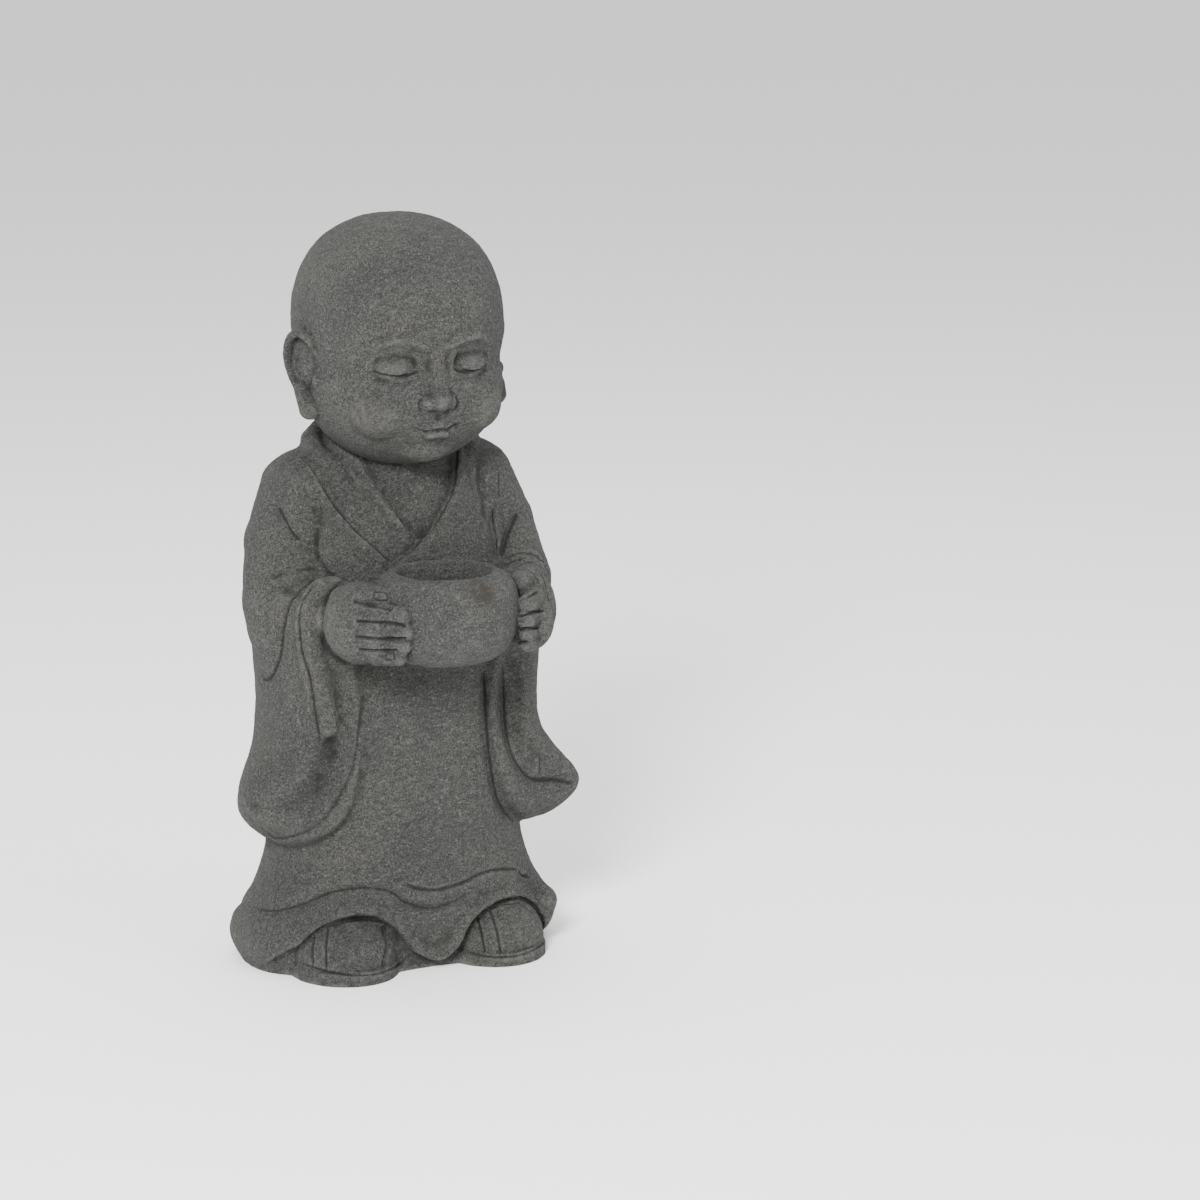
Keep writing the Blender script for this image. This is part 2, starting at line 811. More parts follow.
def left_hand_sleeve() -> Sleeve:
    """The sleeve on the figure's left.

    Returns:
        The sleeve.
    """
    robe_edge = ((484, 669), (485, 698), (489, 753), (498, 800), (514, 822))
    lip = ((503, 662), (505, 720), (513, 756), (530, 778), (555, 780), (573, 784))
    armpit = ((494, 508), (494, 522), (497, 540), (498, 560))
    arm = ((518, 513), (508, 536), (502, 558))
    return Sleeve(
        Side.LEFT_HAND,
        (
            *LEVELS_AT_ELBOW,
            (250, (57, -67), (74, -65), (98, -58), (118, -22), (107, 24), (58, 12)),
            (215, (54, -66), (72, -56), (97, -57), (116, -18), (104, 28), (55, 14)),
            (187, (55, -67), (76, -56), (100, -57), (117, -16), (104, 32), (55, 15)),
            (168, (58, -68), (86, -58), (114, -55), (125, -16), (105, 35), (56, 15)),
            (153, (62, -67), (94, -59), (130, -52), (134, -14), (107, 37), (60, 15)),
            (139, (68, -66), (100, -60), (141, -50), (140, -11), (108, 38), (64, 15)),
            (126, (75, -62), (105, -59), (139, -47), (137, -9), (107, 34), (70, 13)),
            (114, (86, -52), (108, -50), (130, -38), (127, -7), (105, 22), (82, 9)),
            (105, (94, -38), (107, -37), (119, -28), (117, -9), (104, 8), (92, 1)),
        ),
        broad=(
            (Cut.FURROW, robe_edge),
            (Cut.FURROW, lip),
            (Cut.HOLLOW, armpit),
            (Cut.FURROW, arm),
            (Cut.ROLL, ((520, 662), (524, 687), (524, 760))),
        ),
        fine=(
            (Cut.LINE, robe_edge),
            (Cut.LINE, lip),
            (Cut.LINE, armpit),
            (Cut.LINE, arm),
            (Cut.HAIRLINE, ((499, 471), (499, 498))),
            (Cut.HAIRLINE, ((540, 756), (540, 774))),
            (Cut.HAIRLINE, ((503, 566), (520, 560), (535, 566), (545, 582), (549, 602))),
            (Cut.HAIRLINE, ((508, 573), (522, 568), (533, 573), (540, 585))),
            (Cut.HAIRLINE, ((505, 559), (522, 553), (539, 558), (550, 575))),
        ),
    )


@dataclass
class Head:
    """A child's round head with a calm, plain face and long-lobed ears."""

    eye_height: float = 491
    eye_spread: float = 31
    nose_height: float = 463
    mouth_height: float = 441.5
    # The cheek is given for the +X side.
    skull: Form = ((0, -17, 517), (81, 85, 84))
    skull_squareness: float = 2.25
    jaw: Form = ((0, -28, 470), (79, 76, 65))
    mouth_mound: Form = ((0, -80, 446), (27, 19.5, 21))
    chin: Form = ((0, -71, 428), (24, 19, 16))
    cheek: Form = ((36, -74, 457), (27, 24, 24))
    # The ear's middle as X and Y, and how far its plane is turned to the front, in degrees.
    ear_middle: Spot = (82, -27)
    ear_turn: float = 26
    # The +X ear lies closer to the head and further back.
    flatter_by: float = 17
    further_back: float = 8
    # How far behind the ear's middle, the height, and how far out of the ear's plane.
    ear_cup: Form = ((1, 489, -3), (5, 16, 23.5))
    ear_knob: Form = ((-14, 476, -0.5), (4.5, 5, 6))
    ear_rim: tuple[Place, ...] = (
        (-14, 494, -3), (-13.5, 500, 0.5), (-9, 508, 3), (0, 512.5, 4), (9, 509, 4),
        (14, 499, 3.6), (13.5, 487, 3), (9, 476, 2.5), (3.5, 467, 2),
    )
    ear_rim_radius: float = 3.5
    ear_fold: tuple[Place, ...] = ((6, 502, -0.5), (8, 490, 0.5), (6, 479, 1), (1, 472, 0.5))
    ear_fold_radius: float = 2.4
    lobe: tuple[Station, ...] = ((3, 469, 1, 5.5), (-2, 461, 0.5, 7.5), (-6, 453.5, 0, 8.5))

    def add_to(self, clay: Clay) -> None:
        """Lays the skull, the full cheeks and jaw, the mouth's mound and the chin.

        Args:
            clay: where the shells are gathered.
        """
        clay.ball(*self.skull, squareness=self.skull_squareness, fine=96)
        clay.ball(*self.jaw, fine=96)
        clay.ball(*self.mouth_mound, fine=64)
        clay.ball(*self.chin, fine=64)
        for side in Side:
            clay.ball(side.at(self.cheek[0]), self.cheek[1], fine=64)

    def hollow_face(self, skin: Skin) -> None:
        """Presses in the eye sockets and the hollow under the lip.

        Args:
            skin: the surface that is carved.
        """
        for side in Side:
            socket = skin.facing(side.of(((15, 495), (self.eye_spread, 492), (47, 489))))
            skin.cut(socket, Cut.HOLLOW, deeper=1.5, wider=1.15)
        skin.cut(skin.facing(((-10, 432), (0, 431), (10, 432))), Cut.FURROW, deeper=0.5)
        skin.write()

    def add_features(self, clay: Clay) -> None:
        """Lays brows, closed lids, nose and lips, to be fused softly with the head.

        Args:
            clay: where the shells are gathered.
        """
        e, n, m = self.eye_height, self.nose_height, self.mouth_height
        bridge = ((0, -94, e + 16, 8), (0, -96.5, e - 3, 8), (0, -101, n + 7, 8.5), (0, -105, n + 2, 9))
        under_lip = ((-7, -97.5, m - 3.2, 3.8), (7, -97.5, m - 3.2, 3.8))
        upper_lip = ((2, -98.8, m + 3, 3.2), (9, -96.5, m + 2.6, 2.6), (15, -92.5, m + 1.2, 1.6))
        brow = (
            (5, -97.5, e + 14, 5), (18, -98.5, e + 20, 5.5), (34, -94.5, e + 21.5, 5), (50, -84, e + 15, 4.5),
            (58, -75, e + 7, 4),
        )
        nose_wing = ((8.2, -100.5, n), (6.6, 9, 6.6))
        eye = ((self.eye_spread, -84.5, e - 0.5), (16.5, 14, 11))
        eye_turn = 20
        clay.limb(*bridge)
        clay.limb(*under_lip)
        for side in Side:
            clay.limb(*side.of(brow))
            clay.ball(side.at(nose_wing[0]), nose_wing[1])
            clay.ball(side.at(eye[0]), eye[1], turn=(0, 0, eye_turn * side.value))
            clay.limb(*side.of(upper_lip))

    def ear_place(self, side: Side, along: float, height: float, out: float) -> Place:
        """A point of one ear.

        Args:
            side: which ear.
            along: how far behind the ear's middle, along the ear.
            height: its height.
            out: how far it stands out of the ear's plane.

        Returns:
            The point, in units.
        """
        (x, y), turn = self.ear_middle, math.radians(self.ear_degrees(side))
        if side is Side.LEFT_HAND:
            y += self.further_back
        away, back = Vector((math.cos(turn), -math.sin(turn))), Vector((math.sin(turn), math.cos(turn)))
        return (side.value * (x + along * back.x + out * away.x), y + along * back.y + out * away.y, height)

    def ear_degrees(self, side: Side) -> float:
        """How far one ear's plane is turned to the front."""
        return self.ear_turn - (self.flatter_by if side is Side.LEFT_HAND else 0)

    def add_ears(self, clay: Clay) -> None:
        """Lays the ears: a curled rim, a deep cup and a heavy lobe.

        Args:
            clay: where the shells are gathered.
        """
        for side in Side:
            turn = (0, 0, -self.ear_degrees(side) * side.value)
            clay.ball(self.ear_place(side, *self.ear_cup[0]), self.ear_cup[1], turn=turn)
            for path, radius in ((self.ear_rim, self.ear_rim_radius), (self.ear_fold, self.ear_fold_radius)):
                run = curve_through([self.ear_place(side, *spot) for spot in path], 3)
                clay.limb(*[(*place, radius) for place in run], fine=20)
            clay.ball(self.ear_place(side, *self.ear_knob[0]), self.ear_knob[1])
            clay.limb(*[(*self.ear_place(side, *lobe[:3]), lobe[3]) for lobe in self.lobe])

    def carve_fine(self, skin: Skin) -> None:
        """Draws lids, nostrils and lips.

        Args:
            skin: the surface that is carved.
        """
        e, m, n = self.eye_height, self.mouth_height, self.nose_height
        lash_line = ((15, e - 2), (22, e - 5.5), (31, e - 7), (40, e - 6), (48, e - 2.5))
        lid_fold = ((14.5, e + 1.5), (21, e + 6.5), (31, e + 8.5), (41, e + 7), (49, e + 1))
        under_eye = ((21, e - 10), (31, e - 12), (42, e - 10))
        brow = ((9, e + 13), (20, e + 19), (34, e + 20.5), (48, e + 14.5))
        nose_wing = ((14, n + 5), (16.5, n), (14.5, n - 6))
        nostril = ((3.6, n - 6), (7.4, n - 6.2))
        mouth_corner = ((17, m + 3), (18.5, m))
        lips = ((0, m - 0.2), (4, m + 0.2), (9, m - 0.4), (13, m + 0.2), (16.5, m + 1.8))
        groove = ((0, n - 9), (0, m + 7))
        for side in Side:
            for tool, path, how in (
                (Cut.LINE, lash_line, {"deeper": 1.4}),
                (Cut.CREASE, lid_fold, {"deeper": 0.3}),
                (Cut.CREASE, under_eye, {"deeper": 0.4}),
                (Cut.WELT, brow, {"deeper": 0.9}),
                (Cut.LINE, nose_wing, {"deeper": 0.6}),
                (Cut.LINE, nostril, {"wider": 1.2, "tail": 0}),
                (Cut.CREASE, mouth_corner, {"deeper": 0.5}),
                (Cut.LINE, lips, {"tail": 0}),
            ):
                skin.cut(skin.facing(side.of(path)), tool, **how)
        skin.cut(skin.facing(groove), Cut.CREASE, deeper=0.4)


@dataclass
class Hand:
    """A plump hand whose fingers close round the bowl."""

    side: Side
    palm: tuple[Station, ...] = ((79, -80, 299, 18), (71, -100, 298, 22))
    # The back of the hand, and the fingers' root, with their turns in degrees.
    back: Form = ((69, -108, 298), (22, 28, 32))
    back_turn: float = 14
    knuckles: Form = ((62, -128, 293), (14, 24, 25))
    knuckles_turn: float = 28
    # Each finger's height, radius, and how much longer it is than the shortest, index first.
    fingers: tuple[Place, ...] = ((310, 8.3, 3), (298.5, 7.8, 7), (287.5, 7.4, 4), (277.5, 6.8, 0))
    reach: Path = ((73, -116), (64, -138), (54, -149.5))
    thumb: tuple[Station, ...] = ((78, -98, 314, 12), (67, -116, 319, 11), (53, -131, 318, 10))
    creases: tuple[Stroke, ...] = ()
    nails: tuple[tuple[Spot, ...], ...] = ()

    def add_to(self, clay: Clay) -> None:
        """Lays the palm, the four fingers and the thumb.

        Args:
            clay: where the shells are gathered.
        """
        clay.limb(*self.side.of(self.palm), fine=40)
        for (middle, size), turn, fine in (
            (self.back, self.back_turn, 56),
            (self.knuckles, self.knuckles_turn, 48),
        ):
            clay.ball(self.side.at(middle), size, turn=(0, 0, turn * self.side.value), fine=fine)
        for height, radius, longer in self.fingers:
            middle, end = (Vector(spot) for spot in self.reach[-2:])
            tip = end + (end - middle).normalized() * longer
            joints = [(x, y, height, radius) for x, y in self.reach[:-1]]
            clay.limb(*self.side.of((*joints, (*tip, height, radius - 0.4))))
        clay.limb(*self.side.of(self.thumb))

    def carve_fine(self, skin: Skin) -> None:
        """Parts the fingers and outlines the nails.

        Args:
            skin: the surface that is carved.
        """
        skin.draw(self.creases, deeper=1.3, tail=0.08)
        for nail in self.nails:
            skin.cut(skin.pictured((*nail, nail[0])), Cut.HAIRLINE, wider=0.8, tail=0)


def right_hand() -> Hand:
    """The hand on the figure's right, seen whole in the picture.

    Returns:
        The hand.
    """
    wrist = ((346, 580), (333, 590), (325, 601), (322, 615), (322, 630), (326, 646), (335, 657), (347, 665))
    under_thumb = ((353, 600), (372, 604), (393, 609))
    return Hand(
        Side.RIGHT_HAND,
        back=((69, -108, 298), (28, 31, 32)),
        creases=(
            (Cut.CREASE, wrist),
            (Cut.CREASE, under_thumb),
            (Cut.LINE, under_thumb),
            (Cut.LINE, ((356, 621), (379, 622), (406, 626))),
            (Cut.LINE, ((355, 637), (379, 639), (407, 639))),
            (Cut.LINE, ((358, 650), (380, 651), (398, 651))),
        ),
        nails=(
            ((374, 592), (385, 593), (387, 600), (375, 599)),
            ((386, 653), (393, 653), (394, 659), (387, 659)),
        ),
    )


def left_hand() -> Hand:
    """The hand on the figure's left, half hidden by the bowl.

    Returns:
        The hand.
    """
    return Hand(
        Side.LEFT_HAND,
        thumb=((80, -92, 317, 12), (70, -110, 322, 10.5), (57, -124, 322, 9)),
        creases=(
            (Cut.SLIT, ((520, 600), (530, 595), (539, 590))),
            (Cut.LINE, ((519, 616), (530, 613), (544, 611))),
            (Cut.LINE, ((519, 630), (528, 629), (540, 628))),
            (Cut.LINE, ((518, 643), (529, 642))),
        ),
    )


@dataclass
class Bowl:
    """The round bowl, turned with its lip and hollow. The sizes are in metres."""

    diameter: float = 0.113
    height: float = 0.0705
    mouth: float = 0.073
    recess: float = 0.046
    wall: float = 0.012
    axis: Spot = (-4, -121)
    foot_height: float = 265.5
    # As shares of the outer radius and of the height, and of the belly's radius and of the recess.
    outside: Path = (
        (0.0, 0.0), (0.42, 0.0), (0.7, 0.05), (0.89, 0.2), (0.985, 0.36), (1.01, 0.52), (1.0, 0.7),
        (0.955, 0.84), (0.87, 0.94),
    )
    inside: Path = ((0.95, 0.4), (0.97, 0.28), (0.88, 0.1), (0.6, 0.0), (0.0, 0.0))
    # Out from the mouth and down from the rim, as shares of the wall.
    lip: Path = ((0.62, 0.1), (0.3, 0.0), (0.0, 0.2), (0.0, 1.7))

    def profile(self) -> list[Spot]:
        """The bowl's outline.

        Returns:
            The outside, lip and hollow as (radius, height) in metres.
        """
        foot = self.foot_height * UNIT
        rim = foot + self.height
        floor = rim - self.recess
        belly = self.diameter / 2 - self.wall
        corners = [
            *[(self.diameter / 2 * out, foot + self.height * up) for out, up in self.outside],
            *[(self.mouth / 2 + self.wall * out, rim - self.wall * down) for out, down in self.lip],
            *[(belly * out, floor + self.recess * up) for out, up in self.inside],
        ]
        return [(max(radius, 0.0), height) for radius, height in curve_through(corners, 4)]

    def add_to(self, clay: Clay) -> None:
        """Turns the bowl."""
        clay.turned(self.profile(), self.axis)


@dataclass
class Shoes:
    """Two round-toed shoes on thick soles."""

    # Each shoe's middle across the figure, the -X one first.
    middles: Spot = (-61, 66.5)
    toe: float = -39
    upper: Place = (42, 46, 38)
    upper_middle: float = 12
    squareness: float = 2.2
    sole: Spot = (43.5, 49)
    sole_height: float = 10.5
    sole_round: float = 3
    # How far the slabs of the soles go below the ground before the base is cut.
    sunk: float = 14
    strokes: tuple[Stroke, ...] = (
        (Cut.LINE, ((301, 963), (330, 972), (369, 975), (394, 968), (405, 961))),
        (Cut.LINE, ((315, 934), (312, 950), (313, 966))),
        (Cut.LINE, ((328, 927), (326, 945), (326, 970))),
        (Cut.CREASE, ((382, 925), (388, 945), (382, 968))),
        (Cut.HAIRLINE, ((328, 927), (346, 922), (361, 920), (380, 922), (392, 928))),
        (Cut.LINE, ((471, 953), (494, 957), (521, 955), (540, 946), (547, 940))),
        (Cut.LINE, ((477, 915), (481, 933), (485, 953))),
        (Cut.LINE, ((490, 910), (496, 928), (501, 954))),
        (Cut.HAIRLINE, ((489, 909), (503, 905), (521, 903))),
    )

    def add_to(self, clay: Clay) -> None:
        """Lays the uppers, and the soles as bevelled slabs.

        Args:
            clay: where the shells are gathered.
        """
        for middle in self.middles:
            clay.ball((middle, self.toe, self.upper_middle), self.upper, squareness=self.squareness, fine=64)
            deselect()
            bpy.ops.mesh.primitive_cylinder_add(
                vertices=72,
                radius=UNIT,
                depth=(self.sole_height + self.sunk) * UNIT,
                location=units(middle, self.toe - 2, (self.sole_height - self.sunk) / 2),
                scale=(*self.sole, 1),
            )
            settle()
            bpy.ops.object.mode_set(mode="EDIT")
            bpy.ops.mesh.select_all(action="DESELECT")
            slab = bmesh.from_edit_mesh(bpy.context.edit_object.data)
            top = self.sole_height * UNIT
            for edge in slab.edges:
                edge.select_set(all(abs(vert.co.z - top) < SAME_PLACE for vert in edge.verts))
            bmesh.update_edit_mesh(bpy.context.edit_object.data)
            bpy.ops.mesh.bevel(offset=self.sole_round * UNIT, segments=4)
            bpy.ops.object.mode_set(mode="OBJECT")
            clay.keep(bpy.context.object)

    def carve_fine(self, skin: Skin) -> None:
        """Draws the soles' edges, the straps and the seams."""
        skin.draw(self.strokes)


class Bench:
    """A material's node tree, with short calls for the nodes used here."""

    def __init__(self, name: str) -> None:
        """Starts a material with its Principled shader.

        Args:
            name: the material's name.
        """
        self.material = bpy.data.materials.new(name)
        self.material.use_nodes = True
        self.tree = self.material.node_tree
        self.shader = self.tree.nodes["Principled BSDF"]
        self.place = self.node("ShaderNodeTexCoord").outputs["Object"]

    def node(self, kind: str, inputs: dict | None = None, **settings: object) -> bpy.types.Node:
        """Adds a node.

        Args:
            kind: the node's type.
            inputs: values or sockets for its inputs, by name or number.
            settings: the node's own values.

        Returns:
            The node.
        """
        made = self.tree.nodes.new(kind)
        for name, value in settings.items():
            setattr(made, name, value)
        for name, value in (inputs or {}).items():
            if isinstance(value, Socket):
                self.tree.links.new(value, made.inputs[name])
            else:
                made.inputs[name].default_value = value
        return made

    def noise(
        self,
        scale: float,
        detail: float = 4,
        rough: float = 0.55,
        stretch: Place = (1, 1, 1),
        turn: Place = (0, 0, 0),
    ) -> Socket:
        """A noise value, from 0 to 1.

        Args:
            scale: how many grains there are to a metre.
            detail: how many finer layers it has.
            rough: how strong the finer layers are.
            stretch: the pattern's scale along each axis.
            turn: the pattern's turn in degrees.

        Returns:
            The noise's value.
        """
        place = self.node(
            "ShaderNodeMapping",
            {"Vector": self.place, "Scale": stretch, "Rotation": [math.radians(angle) for angle in turn]},
        )
        grain = {"Vector": place.outputs[0], "Scale": scale, "Detail": detail, "Roughness": rough}
        return self.node("ShaderNodeTexNoise", grain).outputs[0]

    def between(self, value: Socket, low: float, high: float, start: float = 0, end: float = 1) -> Socket:
        """A value that goes smoothly from start to end while another goes from low to high."""
        span = {"Value": value, "From Min": low, "From Max": high, "To Min": start, "To Max": end}
        return self.node("ShaderNodeMapRange", span, interpolation_type="SMOOTHSTEP").outputs[0]

    def math(self, how: str, first: object, second: object) -> Socket:
        """Two values added, multiplied or otherwise joined."""
        return self.node("ShaderNodeMath", {0: first, 1: second}, operation=how).outputs[0]

    def blend(self, share: object, first: object, second: object, how: str = "MIX") -> Socket:
        """Mixes two colours.

        Args:
            share: the second colour's share.
            first: the first colour.
            second: the second colour.
            how: the way of mixing.

        Returns:
            The mixed colour.
        """
        made = self.node("ShaderNodeMix", data_type="RGBA", blend_type=how)
        for index, value in ((0, share), (6, first), (7, second)):
            if isinstance(value, Socket):
                self.tree.links.new(value, made.inputs[index])
            elif index:
                made.inputs[index].default_value = (*value, 1)
            else:
                made.inputs[index].default_value = value
        return made.outputs[2]

    def attribute(self, name: str) -> Socket:
        """A value stored on the mesh's points."""
        return self.node("ShaderNodeAttribute", attribute_name=name).outputs["Fac"]

    def wire(self, socket: Socket, name: str) -> None:
        """Feeds one of the shader's inputs."""
        self.tree.links.new(socket, self.shader.inputs[name])


@dataclass(frozen=True)
class CastStone:
    """Matte, dark grey cast stone with a brushed, pitted skin, worn pale on its ridges."""

    name: str = "cast_stone_skin"
    cool: Tint = (0.0525, 0.055, 0.0515)
    warm: Tint = (0.068, 0.0675, 0.0603)
    pale: Tint = (0.17, 0.17, 0.16)
    blotches: Grain = (13, 5, 0.6)
    mottle: Grain = (110, 6, 0.62)
    grain: Grain = (760, 4, 0.85)
    specks: Grain = (560, 2, 0.5)
    dabs: Grain = (430, 5, 0.75)
    dabs_stretch: Place = (0.33, 1, 1)
    dabs_turn: Place = (0, 35, 20)
    worn: Tint = (0.18, 0.18, 0.168)
    grime: Tint = (0.012, 0.012, 0.011)
    stain: Tint = (0.030, 0.024, 0.016)
    roughness: float = 0.84
    # How much rougher or smoother it is in places.
    roughness_swing: float = 0.06
    specular: float = 0.35
    # How deep the bump is, in metres.
    bump: float = 0.0060

    def material(self, stain_at: Vector, stain_size: float) -> bpy.types.Material:
        """Builds the material.

        Args:
            stain_at: the middle of the brown stain below the bowl's rim.
            stain_size: the stain's radius.

        Returns:
            The material.
        """
        bench = Bench(self.name)
        blotches = bench.noise(*self.blotches)
        mottle = bench.noise(*self.mottle)
        grain = bench.noise(*self.grain)
        specks = bench.noise(*self.specks)
        dabs = bench.noise(*self.dabs, stretch=self.dabs_stretch, turn=self.dabs_turn)
        colour = bench.blend(bench.between(blotches, 0.36, 0.64), self.cool, self.warm)
        shade = bench.between(mottle, 0.3, 0.7, 0.93, 1.07)
        for layer, half_span, swing in ((grain, 0.13, 0.75), (dabs, 0.16, 0.34)):
            lit = bench.between(layer, 0.5 - half_span, 0.5 + half_span, 1 - swing, 1 + swing)
            shade = bench.math("MULTIPLY", shade, lit)
        tone = bench.node("ShaderNodeCombineColor", {"Red": shade, "Green": shade, "Blue": shade}).outputs[0]
        colour = bench.blend(1.0, colour, tone, "MULTIPLY")
        colour = bench.blend(bench.between(specks, 0.62, 0.70, 0, 0.9), colour, self.pale)
        worn = bench.math("MULTIPLY", bench.attribute("worn"), bench.between(mottle, 0.35, 0.6, 0.45, 1))
        colour = bench.blend(worn, colour, self.worn)
        colour = bench.blend(bench.attribute("grime"), colour, self.grime)
        away = bench.node("ShaderNodeVectorMath", {0: bench.place, 1: tuple(stain_at)}, operation="DISTANCE")
        near = bench.between(away.outputs["Value"], 0.3 * stain_size, stain_size, 1, 0)
        blot = bench.math("MULTIPLY", near, bench.between(mottle, 0.38, 0.56, 0, 0.9))
        colour = bench.blend(blot, colour, self.stain)
        bench.wire(colour, "Base Color")
        smooth, rough = self.roughness - self.roughness_swing, self.roughness + self.roughness_swing
        bench.wire(bench.between(mottle, 0.3, 0.7, smooth, rough), "Roughness")
        bench.shader.inputs["Specular IOR Level"].default_value = self.specular
        height = bench.between(specks, 0.60, 0.70, 0, 0.35)
        for layer, share in ((grain, 1.3), (mottle, 0.7), (dabs, 1.6)):
            height = bench.math("ADD", height, bench.math("MULTIPLY", layer, share))
        height = bench.math("SUBTRACT", height, bench.between(specks, 0.40, 0.30, 0, 0.6))
        bump = bench.node("ShaderNodeBump", {"Strength": 1.0, "Distance": self.bump, "Height": height})
        bench.wire(bump.outputs[0], "Normal")
        return bench.material


@dataclass(frozen=True)
class PaleFloor:
    """A matte, nearly white studio floor."""

    name: str = "pale_floor"
    colour: Tint = (0.9, 0.9, 0.895)
    cloud: Tint = (0.8, 0.8, 0.8)
    roughness: float = 0.9

    def material(self) -> bpy.types.Material:
        """Builds the material.

        Returns:
            The material.
        """
        bench = Bench(self.name)
        share = bench.between(bench.noise(1.5), 0.3, 0.7, 0, 0.03)
        bench.wire(bench.blend(share, self.colour, self.cloud), "Base Color")
        bench.shader.inputs["Roughness"].default_value = self.roughness
        return bench.material


@dataclass
class Statue:
    """The whole casting."""

    lens: Lens = field(default_factory=Lens)
    robe: Robe = field(default_factory=Robe)
    sleeves: tuple[Sleeve, ...] = field(default_factory=lambda: (right_hand_sleeve(), left_hand_sleeve()))
    head: Head = field(default_factory=Head)
    hands: tuple[Hand, ...] = field(default_factory=lambda: (right_hand(), left_hand()))
    bowl: Bowl = field(default_factory=Bowl)
    shoes: Shoes = field(default_factory=Shoes)
    # The size of the faces when each part is fused, in units, and how many times it is then smoothed.
    robe_grain: float = 1.6
    robe_relax: int = 42
    head_grain: float = 1.6
    head_relax: int = 20
    face_grain: float = 1.2
    face_relax: int = 6
    hand_grain: float = 1.2
    hand_relax: int = 18
    fine_grain: float = 1.1
    fine_relax: int = 2
    # How many triangles are left before the base is cut.
    kept_triangles: int = 208000
    # Hand-made unevenness: how wide its lumps are and how far they swell, in units.
    lumps: Path = ((42, 1.6), (13, 1.0), (6, 0.5))
    # After how many rounds of levelling a point is held against its near and its far surroundings.
    rounds: tuple[int, int] = (3, 12)
    # From how far out of them, or back in them, wear and dirt start, over how much they grow, and their
    # shares, near and far, and how strong they get at most.
    wear: tuple[Place, Place] = ((0.15, 0.3, 0.6), (0.9, 1.5, 0.1))
    dirt: tuple[Place, Place] = ((0.05, 0.3, 0.8), (0.2, 1.2, 0.4))
    most: float = 0.9
    # The stain's place in the picture, and its size in units.
    stain_in_picture: Spot = (483, 592)
    stain_size: float = 17
    # Where it is found on the figure.
    stain_at: Vector = field(default_factory=Vector, init=False)

    def sculpt(self) -> bpy.types.Object:
        """Models the figure in its own frame.

        Returns:
            The figure as one closed object.
        """
        clay = Clay()
        self.robe.add_to(clay)
        for sleeve in self.sleeves:
            sleeve.add_to(clay)
        robe = clay.fused("robe", self.robe_grain, self.robe_relax)
        skin = Skin(robe, self.lens)
        self.robe.carve_broad(skin)
        for sleeve in self.sleeves:
            sleeve.carve_broad(skin)
        skin.write()
        log.info("robe and sleeves: %d faces", len(robe.data.polygons))
        self.head.add_to(clay)
        head = clay.fused("head", self.head_grain, self.head_relax)
        self.head.hollow_face(Skin(head, self.lens))
        clay.keep(head)
        self.head.add_features(clay)
        head = clay.fused("head", self.face_grain, self.face_relax)
        log.info("head: %d faces", len(head.data.polygons))
        for hand in self.hands:
            hand.add_to(clay)
        hands = clay.fused("hands", self.hand_grain, self.hand_relax)
        log.info("hands: %d faces", len(hands.data.polygons))
        for made in (robe, head, hands):
            clay.keep(made)
        self.head.add_ears(clay)
        self.bowl.add_to(clay)
        self.shoes.add_to(clay)
        figure = clay.fused("casting", self.fine_grain, self.fine_relax)
        log.info("fused figure: %d faces", len(figure.data.polygons))
        skin = Skin(figure, self.lens)
        self.stain_at = skin.pictured((self.stain_in_picture,))[0]
        for maker in (self.robe, *self.sleeves, self.head, *self.hands, self.shoes):
            maker.carve_fine(skin)
        skin.write()
        log.info("strokes drawn")
        return figure

    def roughen(self, figure: bpy.types.Object) -> None:
        """Swells the surface unevenly, as hands and moulds leave it.

        Args:
            figure: the figure.
        """
        for width, swell in self.lumps:
            texture = bpy.data.textures.new("lumps", "CLOUDS")
            texture.noise_scale = width * UNIT
            texture.noise_depth = 2
            strength = swell * UNIT
            finish_with(figure, "DISPLACE", texture=texture, strength=strength, texture_coords="LOCAL")

    def thin(self, figure: bpy.types.Object) -> None:
        """Drops the faces that the shape doesn't need.

        Args:
            figure: the figure.
        """
        faces = sum(len(face.vertices) - 2 for face in figure.data.polygons)
        finish_with(figure, "DECIMATE", ratio=min(1.0, self.kept_triangles / faces))
        log.info("thinned to %d faces", len(figure.data.polygons))

    def cut_base(self, figure: bpy.types.Object) -> None:
        """Cuts the figure off flat at the ground and closes the underside.

        Args:
            figure: the figure.
        """
        only(figure)
        bpy.ops.object.mode_set(mode="EDIT")
        bpy.ops.mesh.select_all(action="SELECT")
        bpy.ops.mesh.bisect(
            plane_co=(0, 0, 0), plane_no=(0, 0, 1), use_fill=True, clear_inner=True, threshold=1e-6
        )
        bpy.ops.mesh.quads_convert_to_tris(quad_method="BEAUTY", ngon_method="BEAUTY")
        bpy.ops.object.mode_set(mode="OBJECT")

    def set_in_place(self, figure: bpy.types.Object) -> Matrix:
        """Brings the figure over the solid, at its height and not past its sides.

        Args:
            figure: the figure.

        Returns:
            What takes the figure's own frame to the solid's.
        """
        points = np.array([vert.co for vert in figure.data.vertices])
        low, high = points.min(axis=0), points.max(axis=0)
        grown = HEIGHT / high[2]
        room = SOLID_HIGH - SOLID_LOW
        across, deep = (min(1, room[k] / grown / (high[k] - low[k])) for k in range(2))
        centred = Matrix.Translation((-(low[0] + high[0]) / 2, -(low[1] + high[1]) / 2, 0))
        target = (SOLID_LOW + SOLID_HIGH) / 2
        target.z = SOLID_LOW.z
        placed = Matrix.Translation(target) @ Matrix.Scale(grown, 4)
        figure.data.transform(placed @ Matrix.Diagonal((across, deep, 1, 1)) @ centred)
        return placed @ centred

